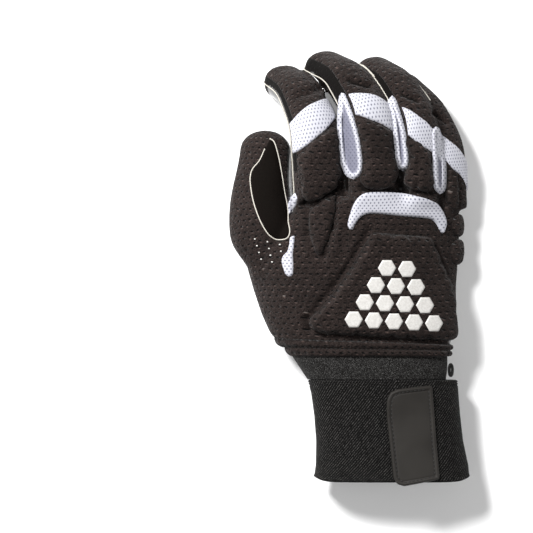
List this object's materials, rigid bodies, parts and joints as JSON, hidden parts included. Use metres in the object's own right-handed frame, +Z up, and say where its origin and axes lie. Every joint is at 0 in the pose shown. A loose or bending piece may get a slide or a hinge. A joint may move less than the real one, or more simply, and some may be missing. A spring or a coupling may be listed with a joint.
{
  "type": "lineman football glove",
  "caption": "Padded right-hand football lineman glove with a mesh-trimmed back, glossy grip palm, padded heel and wide elastic cuff with a strap tab, lying palm down.",
  "frame": {"origin": "on the surface the glove lies on, under the middle of its bounding box", "axes": "+X from the thumb to the little finger, +Y from the cuff to the fingertips, +Z up, out of the back of the hand"},
  "size_m": [0.1506, 0.2664, 0.0584],
  "materials": {
    "fabric": "perforated matt",
    "grip_leather": "high gloss",
    "heel_leather": "satin",
    "mesh": "open mesh",
    "knit": "heathered rib",
    "elastic": "woven rib",
    "strap": "satin moulded",
    "label": "printed woven"
  },
  "bodies": {
    "root": {"back_panel": "fabric", "thumb_back": "fabric", "back_plate": "fabric", "index_leaf_pad": "fabric", "thumb_patch": "fabric", "wrist_welt": "fabric", "side_pad_upper": "fabric", "side_pad_lower": "fabric", "index_back": "fabric", "index_tip": "fabric", "index_pad": "fabric", "middle_back": "fabric", "middle_tip": "fabric", "middle_pad": "fabric", "ring_back": "fabric", "ring_tip": "fabric", "ring_pad": "fabric", "little_back": "fabric", "little_tip": "fabric", "little_pad": "fabric", "palm_panel": "grip_leather", "thumb_front": "grip_leather", "index_front": "grip_leather", "middle_front": "grip_leather", "ring_front": "grip_leather", "little_front": "grip_leather", "heel_pad": "heel_leather", "knuckle_arch": "mesh", "thumb_mesh_leaf": "mesh", "thumb_mesh_strip": "mesh", "index_middle_gusset": "mesh", "middle_ring_gusset": "mesh", "ring_little_gusset": "mesh", "index_band": "mesh", "middle_band": "mesh", "ring_band": "mesh", "little_band": "mesh", "wrist_band": "knit", "cuff": "elastic", "pull_loop": "elastic", "side_loop": "elastic", "strap_tab": "strap", "cuff_label": "label"}
  },
  "joints": []
}
